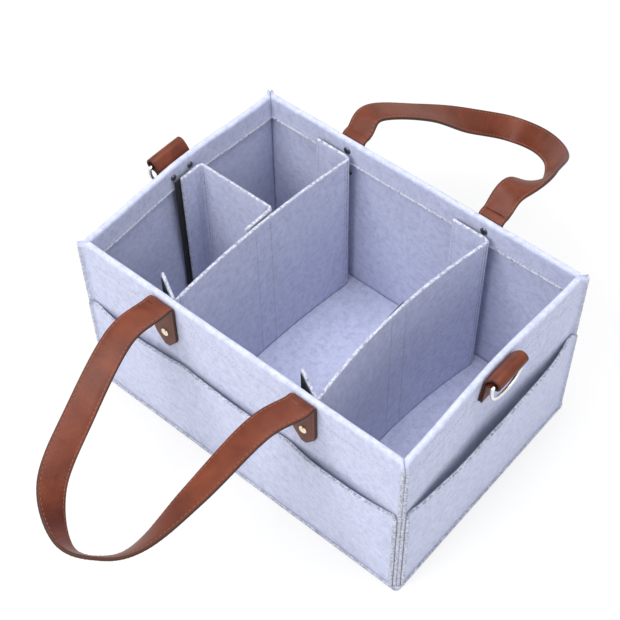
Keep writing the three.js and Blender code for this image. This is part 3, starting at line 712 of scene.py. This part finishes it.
def with_edges(points, step):
    """A line resampled evenly, with the close points that rounded ends need."""
    even = resample(points, step)
    stops = stops_along(even)
    near = EDGE_ROUND[:, 0]
    clear = 1.5 * near[-1]
    middle = stops[(stops > clear) & (stops < stops[-1] - clear)]
    return sample(np.concatenate([near, middle, stops[-1] - near[::-1]]), stops, even)


# Dividers and hook tape


def divider_x(x, sag, reach, y):
    """Where a cross divider stands at y: bowed to the left, and set a little askew."""
    return x - sag * (1 - (y / reach) ** 2) + SHIFT + SKEW * y / reach


def sag_line(x, sag, reach, trim):
    """Plan of a cross divider, bowed to the left, short of both its ends by trim."""
    y = np.linspace(trim - reach, reach - trim, 60)
    return np.stack([divider_x(x, sag, reach, y), y], axis=1)


def flap_line(start, toward, fold, heading, width):
    """Plan of an end flap: out of its panel at start, round the fold and along its heading."""
    swing = toward[0] * heading[1] - toward[1] * heading[0]
    gap = fold - start
    reach = (gap[0] * heading[1] - gap[1] * heading[0]) / swing
    corner = bezier(start + toward * 1.2 * MM, start + toward * reach, fold + heading * 1.5 * MM, 9)
    free = fold + heading * width
    return np.concatenate([[start], corner, np.linspace(corner[-1], free, 10)[1:]])


def felt_flap(name, line):
    """A flap that bends at its fold."""
    line = with_edges(line, 1.6 * MM)
    outer, inner, raw = standing_sheet(line, divider_low, divider_top, FELT)
    piece = felt_piece(f"{name}_felt", outer, inner, {"raw": [raw, raw]}, None, name)
    blend_at_fold(piece)


def blend_at_fold(piece):
    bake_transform(piece)


HOOK_FACES = [(0, 1, 4), (1, 2, 4), (2, 3, 4), (3, 0, 4), (3, 2, 1, 0)]


def hook_tape(name, start, heading, side, body, node):
    """Tape with rows of small hooks on one side."""
    line = with_edges(start + heading * np.linspace(0, STRIP_WIDTH, 14)[:, None], 2.0 * MM)
    low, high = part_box(node)[0].z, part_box(node)[1].z + STRIP_RISE
    outer, inner, _ = standing_sheet(line, low, high, STRIP_CLOTH)
    parts = [sheet_mesh(outer, inner)]
    across = np.arange(STRIP_MARGIN, STRIP_WIDTH - STRIP_MARGIN, HOOK_PITCH)
    rows = np.arange(low + 1.2 * MM, high - 1.0 * MM, HOOK_PITCH)
    sideways = HOOK_HALF * np.append(heading, 0)
    upward = HOOK_HALF * UP
    for row, z in enumerate(rows):
        tip = np.append(side * HOOK_RISE, 0) + upward * (0.8 if row % 4 < 2 else -0.8)
        corners = np.array([sideways, upward, -sideways, -upward, tip])
        for a in across + (row % 2) * HOOK_PITCH / 2:
            foot = np.append(start + heading * a + side * STRIP_CLOTH / 2, z)
            parts.append((foot + corners, HOOK_FACES))
    verts, faces = join(parts)
    piece = make(f"{name}_tape", verts, faces, [TAPE])
    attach(piece, body)
    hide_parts(node)


SEWN = {"pitch": 3.6 * MM, "length": 2.5 * MM, "radius": 0.33 * MM}


def sew(name, runs, thread, body, sizes=SEWN):
    """Stitches along several (points, normals) lines, as one piece on a body."""
    verts, faces = join([stitches(points, normals, **sizes) for points, normals in runs])
    piece = make(name, verts, faces, [thread])
    if body:
        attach(piece, body)
    return piece


def upright_run(plan, facing, low, high):
    """A vertical line of stitches at a plan point."""
    z = np.arange(low, high, 2 * MM)
    points = np.stack([np.full(len(z), plan[0]), np.full(len(z), plan[1]), z], axis=1)
    return points, np.broadcast_to(np.append(facing, 0.0), points.shape)


def divider(name, line, folds, ends):
    """A felt panel and its flaps; a fold is (node, wing, place, heading, width, strip end, wall side)."""
    panel = f"{name}_panel"
    cut = with_edges(line, PANEL_STEP)
    outer, inner, raw = standing_sheet(cut, divider_low, divider_top, FELT)
    sheet = felt_piece(f"{panel}_felt", outer, inner, {"raw": [raw, raw]}, panel, name)
    for (start, toward), (node, wing, fold, heading, width, strip_end, side) in zip(ends, folds):
        felt_flap(node, flap_line(start, toward, fold, heading, width))
        sewn_at = (fold + heading * (width - FOLD_SEAM), fold + heading * PINCH_SEAM)
        top, foot = divider_top - FOLD_SEAM, divider_low + FOLD_SEAM
        runs = [upright_run(at - side * FELT / 2, -side, foot, top) for at in sewn_at]
        sew(f"{node}_stitches", runs, FELT_THREAD, wing)
        inner_face = np.array([toward[1], -toward[0]])
        seam = start - toward * FOLD_SEAM
        both = [upright_run(seam + s * inner_face * FELT / 2, s * inner_face, foot, top) for s in (1, -1)]
        sew(f"{node}_fold_stitches", both, FELT_THREAD, panel)
        if strip_end:
            strip = node.replace("flap", "hook_strip")
            middle = side * (FELT / 2 + STRIP_SEAT)
            hook_tape(strip, fold + heading * (strip_end - STRIP_WIDTH) + middle, heading, side, wing, strip)


def cross_divider(name, x, sag):
    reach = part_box(name)[1].y
    fold_x = x - FELT - GAP - 2 * sag / reach * FELT
    fold_y = reach - FELT / 2
    line = sag_line(x, sag, reach, CORNER_LENGTH)
    peeled = np.array([-math.cos(PEEL), math.sin(PEEL)])
    flat = np.array([-1.0, 0.0])
    strip_end = (FLAP_WIDTH + STRIP_WIDTH + FELT) / 2
    front_side = np.array([-math.sin(PEEL), -math.cos(PEEL)])
    back_side = np.array([0.0, 1.0])
    folds = []
    for end, sign, heading, side in (("front", -1, peeled, front_side), ("back", 1, flat, back_side)):
        fold = np.array([fold_x, sign * fold_y])
        names = (f"{name}_{end}_flap", f"{name}_{end}_wing")
        folds.append((*names, fold, heading, FLAP_WIDTH, strip_end, side))
    ends = [(line[0], unit(line[0] - line[1])), (line[-1], unit(line[-1] - line[-2]))]
    divider(name, line, folds, ends)
    dock = f"{name}_dock_strip"
    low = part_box(dock)[0]
    seat = divider_x(x, sag, reach, low.y) - FELT / 2 - STRIP_SEAT
    hook_tape(dock, np.array([seat, low.y]), back_side, flat, f"{name}_panel", dock)
    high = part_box(dock)[1]
    runs = []
    for y in (low.y + 1.2 * MM, high.y - 1.2 * MM):
        at = np.array([divider_x(x, sag, reach, y) + FELT / 2, y])
        runs.append(upright_run(at, -flat, low.z, high.z))
    sew(f"{dock}_stitches", runs, PALE_THREAD, f"{name}_panel")


def short_divider(name):
    low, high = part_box(name)
    y = (low.y + high.y) / 2
    down = np.array([0.0, -1.0])
    far = high.x + SHIFT
    line = np.stack([np.linspace(low.x + CORNER_LENGTH, far - CORNER_LENGTH, 30), np.full(30, y)], axis=1)
    fold_y = y - FELT - GAP
    left = np.array([low.x + FELT / 2, fold_y])
    right = np.array([far - FELT / 2, fold_y])
    left_width = fold_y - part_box(f"{name}_left_flap")[0].y
    right_width = fold_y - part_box(f"{name}_right_flap")[0].y
    left_strip = fold_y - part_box(f"{name}_left_hook_strip")[0].y - STRIP_TUCK
    west, east = np.array([-1.0, 0.0]), np.array([1.0, 0.0])
    folds = [
        (f"{name}_left_flap", f"{name}_left_wing", left, down, left_width, left_strip, west),
        (f"{name}_right_flap", f"{name}_right_wing", right, down, right_width, 0.0, east),
    ]
    divider(name, line, folds, [(line[0], west), (line[-1], east)])


# Leather


def strap_section(width, thickness):
    """Cross-section of a strap as (across, facing) points: domed faces, stitch grooves and rounded edges."""
    half, thick = width / 2, thickness / 2
    turn = 0.75 * thick
    groove = half - STITCH_INSET
    inset = np.array([half - turn, groove + 0.7 * MM, groove, groove - 0.7 * MM, 0.5 * groove])
    depth = thick + np.array([0.0, 0.0, -0.18 * MM, 0.0, 0.06 * MM])
    side = np.stack([inset, depth], axis=1)
    angles = np.radians((0, 30, 60))
    corner = np.stack([half - turn + turn * np.cos(angles), thick - turn + turn * np.sin(angles)], axis=1)
    quarter = np.concatenate([corner, side])
    top = np.concatenate([quarter, [(0.0, thick + 0.08 * MM)], (quarter * (-1, 1))[::-1]])
    bottom = top[1:-1][::-1] * (1, -1)
    return np.concatenate([top, bottom])


def edge_marks(section, width):
    """1 where a strap's cut edge is painted dark."""
    return smoothstep(width / 2 - 1.0 * MM, width / 2 - 0.4 * MM, np.abs(section[:, 0]))


class Sweep:
    """A strap along a line of points, with the direction across it at each one."""

    def __init__(self, points, across, widths, thickness):
        self.points, self.widths, self.thickness = points, widths, thickness
        self.along = unit(np.gradient(points, axis=0))
        self.facing = unit(np.cross(self.along, across))
        self.across = unit(np.cross(self.facing, self.along))

    def mesh(self):
        rings, marks = [], []
        last = len(self.points) - 1
        for i, (point, width) in enumerate(zip(self.points, self.widths)):
            section = strap_section(width, self.thickness)
            marks.append(np.ones(len(section)) if i in (0, last) else edge_marks(section, width))
            rings.append(point + section[:, :1] * self.across[i] + section[:, 1:] * self.facing[i])
        return tube_mesh(np.array(rings)), np.concatenate(marks)

    def run(self, side, face, skip):
        """A line for stitches near one edge of one face."""
        inset = (self.widths / 2 - STITCH_INSET)[:, None]
        raised = self.thickness / 2 - THREAD_SINK
        points = self.points + side * inset * self.across + face * raised * self.facing
        return points[skip:-skip], face * self.facing[skip:-skip]


# Points of each draped loop in millimetres, and how far the strap is banked there in degrees
FRONT_LOOP = (
    (-72, -124, 178.3, 0), (-75, -161, 174, 4), (-65, -217, 145, 14), (-47, -267, 124, 34),
    (-11, -292, 110, 60), (21, -283, 115, 58), (42, -261, 129, 40), (55, -217, 156, 16),
    (63, -158, 178, 4), (72, -124, 178.3, 0),
)
BACK_LOOP = (
    (-72, 124, 178.6, 0), (-73, 147, 185, 0), (-57, 198, 158, -2), (-39, 246, 124, -38),
    (-15, 280, 104, -38), (22, 276, 113, -36), (57, 244, 137, -36), (74, 198, 162, -56),
    (71, 150, 185, 16), (72, 124, 178.6, 0),
)
LEATHER_SEWN = {"pitch": 4.0 * MM, "length": 2.9 * MM, "radius": 0.32 * MM}


def handle(name, sign, knots):
    """One strap: up the wall as a riveted tab, over its fold, round the loop and down again."""
    knots = np.array(knots, float) * (MM, MM, MM, 1)
    loop = resample(smooth_line(knots, 12), STRAP_STEP)
    loop, bank = loop[:, :3], np.radians(loop[:, 3])
    face = sign * (half_depth + TAB_OUT)
    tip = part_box(f"{name}_left_handle_tab")[0].z
    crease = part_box(f"{name}_left_handle_tab")[1].z
    ends = []
    for x, first in ((-HANDLE_HALF, loop[0]), (HANDLE_HALF, loop[-1])):
        foot = np.array([x, face, tip])
        neck = np.array([x, face, crease - FOLD_NECK])
        tab = np.linspace(foot, neck, int(round((neck[2] - tip) / STRAP_STEP)) + 1)
        bend = bezier(neck, np.array([x, face, first[2] + 0.4 * MM]), first, 8)
        ends.append(np.concatenate([tab, bend[1:-1]]))
    points = np.concatenate([ends[0], loop, ends[1][::-1]])
    along = unit(np.gradient(loop, axis=0))
    level = unit(np.cross(UP, along))
    raised = np.cross(along, level)
    tilted = level * np.cos(bank)[:, None] - raised * np.sin(bank)[:, None]
    left = np.broadcast_to((-sign * 1.0, 0, 0), ends[0].shape)
    across = np.concatenate([left, tilted, -left])
    from_tip = np.minimum(np.arange(len(points)), np.arange(len(points))[::-1])
    rise = np.where(from_tip < len(ends[0]), np.abs(points[:, 2] - tip), 1.0)
    widths = np.interp(rise, (0, TAB_POINT), (STRAP_WIDTH / 4, STRAP_WIDTH))
    strap = Sweep(points, across, widths, STRAP_THICKNESS)
    (verts, faces), marks = strap.mesh()
    piece = make(f"{name}_handle_leather", verts, faces, [LEATHER], {"edge": marks})
    runs = [strap.run(side, face_sign, 3) for side in (1, -1) for face_sign in (1, -1)]
    thread = sew(f"{name}_handle_stitches", runs, LEATHER_THREAD, None, LEATHER_SEWN)
    for part in (piece, thread):
        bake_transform(part)
    tabs = [f"{name}_{side}_handle_tab" for side in ("left", "right")]
    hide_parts(f"{name}_handle_strap", *tabs)


RING_TAB_THICKNESS = 1.8 * MM
RING_FOOT = 46.0 * MM
RING_NECK_WIDTH = 36.8 * MM
INNER_LEG = 1.2 * MM
OUTER_LEG = 3.3 * MM
LEG_TOP = 5.9 * MM
LOOP_OUT = 10.0 * MM
LOOP_RADIUS = 4.6 * MM
LOOP_NECK = 6.0 * MM
WIRE_RADIUS = 1.6 * MM


def ring_tab(wall, seat):
    """Leather up the wall, round the ring's bar and down again, flared at its riveted foot."""
    node = f"{wall.name}_ring_tab"
    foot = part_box(node)[0].z
    legs = rim_z - LEG_TOP
    centre = np.array([LOOP_OUT, rim_z + 0.1 * MM])
    turn = np.radians(np.linspace(125, -105, 30))
    loop = centre + LOOP_RADIUS * np.stack([np.cos(turn), np.sin(turn)], axis=1)
    up = np.linspace((INNER_LEG, foot), (INNER_LEG, legs), 8)
    into = bezier(up[-1], np.array([INNER_LEG, loop[0, 1] - LOOP_NECK]), loop[0], 8)
    away = np.array([OUTER_LEG, legs - 0.6 * MM])
    control = np.array([OUTER_LEG + (loop[-1, 0] - OUTER_LEG) / 3, loop[-1, 1]])
    out_of = bezier(loop[-1], control, away, 8)
    down = np.linspace(away, (OUTER_LEG, foot), 8)
    plan = resample(np.concatenate([up[:-1], into[:-1], loop[:-1], out_of[:-1], down]), 1.3 * MM)
    points = wall.place(np.zeros(len(plan)), plan[:, 0] + seat, plan[:, 1])
    across = np.broadcast_to(wall.heading(1.0, 0.0), points.shape)
    share = np.clip((plan[:, 1] - foot) / (centre[1] - LOOP_RADIUS - foot), 0, 1)
    widths = RING_FOOT + (RING_NECK_WIDTH - RING_FOOT) * share
    leather = Sweep(points, across, widths, RING_TAB_THICKNESS)
    (verts, faces), marks = leather.mesh()
    piece = make(f"{node}_leather", verts, faces, [LEATHER], {"edge": marks})
    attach(piece, "shell")
    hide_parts(node)


def d_ring(wall, seat):
    """Wire bent to a D, hanging from its straight bar."""
    node = f"{wall.name}_d_ring"
    low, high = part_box(node)
    wide = (high.y - low.y) / 2 - WIRE_RADIUS
    bar = high.z - WIRE_RADIUS
    drop = high.z - low.z - 2 * WIRE_RADIUS
    turn = 3.2 * MM
    shoulder = np.array([wide - turn, 0.0])
    elbow = np.array([wide, -turn])
    lowest = np.array([0.0, -drop])
    straight = np.linspace((0.0, 0.0), shoulder, 8)[:-1]
    corner = bezier(shoulder, np.array([wide, 0.0]), elbow, 8)[:-1]
    bow = cubic(elbow, np.array([wide, -0.75 * drop]), np.array([0.55 * wide, -drop]), lowest, 24)
    right = np.concatenate([straight, corner, bow])
    closed = np.concatenate([right, [lowest], (right * (-1, 1))[:0:-1], right[:1]])
    line = resample(closed, 1.0 * MM)[:-1]
    along = unit(np.roll(line, -1, axis=0) - np.roll(line, 1, axis=0))
    turns = np.linspace(0, 2 * math.pi, 16, endpoint=False)
    rings = []
    for (t, z), (dt, dz) in zip(line, along):
        flat, deep = WIRE_RADIUS * np.cos(turns), WIRE_RADIUS * np.sin(turns)
        rings.append(wall.place(t - dz * flat, LOOP_OUT + seat + deep, bar + z + dt * flat))
    verts, faces = tube_mesh(np.array(rings), loop=True)
    piece = make(f"{node}_wire", verts, faces, [STEEL])
    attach(piece, f"{wall.name}_ring")
    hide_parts(node)


# Share of a rivet's radius, and millimetres from its end, from the middle of the head out and of the cap in
DOME = np.array((
    (0, 0), (0.3, 0.06), (0.58, 0.24), (0.8, 0.55), (0.94, 1.0), (1.0, 1.45), (0.98, 1.7), (0.9, 1.8),
))
CAP = np.array((
    (0.84, 1.5), (0.9, 1.3), (0.88, 0.75), (0.76, 0.32), (0.55, 0.1), (0.4, 0.22), (0.15, 0.3), (0, 0.3),
))
RIVET_SIDES = 36
POST_RADIUS = 1.5 * MM


def rivet(wall, node):
    """A domed head outside, a post through the felt and a dished cap inside."""
    low, high = (np.array(c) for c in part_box(node))
    middle = (low + high) / 2
    out = wall.heading(0.0, 1.0)
    along = wall.heading(1.0, 0.0)
    length = abs(float(np.dot(high - low, out)))
    radius = abs(float(np.dot(high - low, along))) / 2
    head = DOME * (radius, -MM) + (0, length / 2)
    cap = CAP * (radius, MM) - (0, length / 2)
    profile = np.concatenate([head[1:], [(POST_RADIUS, head[-1, 1]), (POST_RADIUS, cap[0, 1])], cap[:-1]])
    turns = np.linspace(0, 2 * math.pi, RIVET_SIDES, endpoint=False)
    spokes = np.outer(np.cos(turns), along) + np.outer(np.sin(turns), UP)
    rings = np.array([middle + r * spokes + n * out for r, n in profile])
    verts, faces = tube_mesh(rings)
    heights = np.array([np.mean([(verts[i] - middle) @ out for i in f]) for f in faces])
    piece = make(f"{node}_metal", verts, faces, [BRASS, GUNMETAL], pick=(heights < 0).astype(int))
    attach(piece, "shell")
    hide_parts(node)


HEM_SEAM = 4.5 * MM
HEM_SEAM_END = 14.0 * MM
RUN_STEP = 3.0 * MM


def wall_stitches(wall):
    """The hem's line on both faces, the corner seams and the pocket's lines."""
    t = np.arange(HEM_SEAM_END - wall.half, wall.half - HEM_SEAM_END, RUN_STEP)
    z = hem_z + HEM_SEAM
    lean = wall.lean(t, z)
    out = np.broadcast_to(wall.heading(0.0, 1.0), (len(t), 3))
    runs = [(wall.place(t, lean - 0.05 * MM, z), out), (wall.place(t, lean - 2.05 * FELT, z), -out)]
    seams = ((-FELT, pocket_z + 4 * MM, rim_z - 4 * MM), (POCKET_GAP, floor_z + 3 * MM, pocket_z - 3 * MM))
    for inner, low, high in seams:
        line = layer_line(wall, inner)
        heights = np.arange(low, high, RUN_STEP)
        for place, step in ((2, 1), (-3, -1)):
            along = unit(line[place + step] - line[place]) * step
            normal = np.array([-along[1], along[0]])
            at = line[place] + normal * (FELT / 2 - 0.05 * MM)
            points = wall.place(np.full(len(heights), at[0]), at[1], heights)
            runs.append((points, np.broadcast_to(wall.heading(*normal), points.shape)))
    for start, _, _ in wall.bays[1:]:
        heights = np.arange(floor_z + 3 * MM, pocket_z - 2 * MM, RUN_STEP)
        lift = POCKET_GAP + FELT + wall.lean(start, heights) - 0.1 * MM
        points = wall.place(np.full(len(heights), start), lift, heights)
        runs.append((points, np.broadcast_to(wall.heading(0.0, 1.0), points.shape)))
    thread = sew(f"{wall.name}_wall_stitches", runs, FELT_THREAD, "shell")


# The caddy

base_panel()
for wall in WALLS.values():
    wall_panel(wall)
    pocket_panel(wall)
    wall_stitches(wall)
cross_divider("left_divider", LEFT_X, LEFT_SAG)
cross_divider("right_divider", RIGHT_X, RIGHT_SAG)
short_divider("short_divider")
handle("front", -1, FRONT_LOOP)
handle("back", 1, BACK_LOOP)
for end in ("left", "right"):
    ring_low, ring_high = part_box(f"{end}_d_ring")
    seat = abs(ring_low.x + ring_high.x) / 2 - half_length - LOOP_OUT
    ring_tab(WALLS[end], seat)
    d_ring(WALLS[end], seat)
    for place in ("front", "back"):
        rivet(WALLS[end], f"{end}_ring_tab_{place}_rivet")
for end in ("front", "back"):
    for side in ("left", "right"):
        for level in ("upper", "lower"):
            rivet(WALLS[end], f"{end}_{side}_handle_{level}_rivet")


# Floor, light and camera


def seen_rays(tree):
    """1 for rays from the camera, and for those that metal sends on or a clear piece lets through."""
    rays = node(tree, "ShaderNodeLightPath").outputs
    seen = math_node(tree, "MAXIMUM", rays["Is Camera Ray"], rays["Is Glossy Ray"])
    return math_node(tree, "MAXIMUM", seen, rays["Is Transmission Ray"])


def floor_material():
    """White floor that the camera sees nearly pure, so that only a soft shadow is left on it."""
    material = bpy.data.materials.new("white_floor")
    material.use_nodes = True
    tree = material.node_tree
    tree.nodes.clear()
    paint = node(tree, "ShaderNodeBsdfDiffuse", {"Color": (0.8, 0.8, 0.8, 1.0)})
    glow = node(tree, "ShaderNodeEmission", {"Color": (1.0, 1.0, 1.0, 1.0), "Strength": 1.0})
    share = math_node(tree, "MULTIPLY", seen_rays(tree), 0.72)
    mixed = node(tree, "ShaderNodeMixShader", {0: share, 1: paint.outputs[0], 2: glow.outputs[0]})
    node(tree, "ShaderNodeOutputMaterial", {"Surface": mixed.outputs[0]})
    return material


FLOOR_HALF = 6.0
floor = make(
    "floor", [(-FLOOR_HALF, -FLOOR_HALF, 0), (FLOOR_HALF, -FLOOR_HALF, 0), (FLOOR_HALF, FLOOR_HALF, 0),
              (-FLOOR_HALF, FLOOR_HALF, 0)], [(0, 1, 2, 3)], [floor_material()])
floor.location.z = -0.2 * MM

world = bpy.data.worlds.new("studio")
world.use_nodes = True
world.node_tree.nodes.clear()
sky = world.node_tree
room = node(sky, "ShaderNodeBackground", {"Color": (0.95, 0.97, 1.0, 1.0), "Strength": 0.46})
backdrop = node(sky, "ShaderNodeBackground", {"Color": (1.0, 1.0, 1.0, 1.0), "Strength": 1.0})
view = node(sky, "ShaderNodeMixShader", {0: seen_rays(sky), 1: room.outputs[0], 2: backdrop.outputs[0]})
node(sky, "ShaderNodeOutputWorld", {"Surface": view.outputs[0]})
scene.world = world


def facing_middle(place):
    """The turn of a lamp or camera at a place that looks at the middle of the box."""
    return (Vector((0, 0, rim_z / 2)) - Vector(place)).to_track_quat("-Z", "Y").to_euler()


def softbox(name, place, size, power, colour):
    """A square area light that faces the middle of the object."""
    lamp = bpy.data.lights.new(name, "AREA")
    lamp.size = size
    lamp.energy = power
    lamp.color = colour
    piece = bpy.data.objects.new(name, lamp)
    piece.location = place
    piece.rotation_euler = facing_middle(place)
    scene.collection.objects.link(piece)


softbox("key", (-0.35, -1.5, 1.7), 1.1, 32.0, (1.0, 0.99, 0.97))
softbox("top", (0.1, 0.2, 2.2), 1.6, 38.0, (1.0, 1.0, 1.0))
softbox("fill", (1.7, -0.2, 1.1), 1.2, 7.0, (0.95, 0.97, 1.0))

camera_data = bpy.data.cameras.new("camera")
camera_data.lens = 78.68
camera_data.sensor_width = 36.0
camera_data.shift_x = -0.0328
camera_data.shift_y = 0.0278
camera_data.clip_start = 0.05
camera = bpy.data.objects.new("camera", camera_data)
camera.location = (0.4484, -0.5365, 0.9936)
camera.rotation_euler = facing_middle(camera.location)
scene.collection.objects.link(camera)
scene.camera = camera
scene.view_settings.view_transform = "Standard"
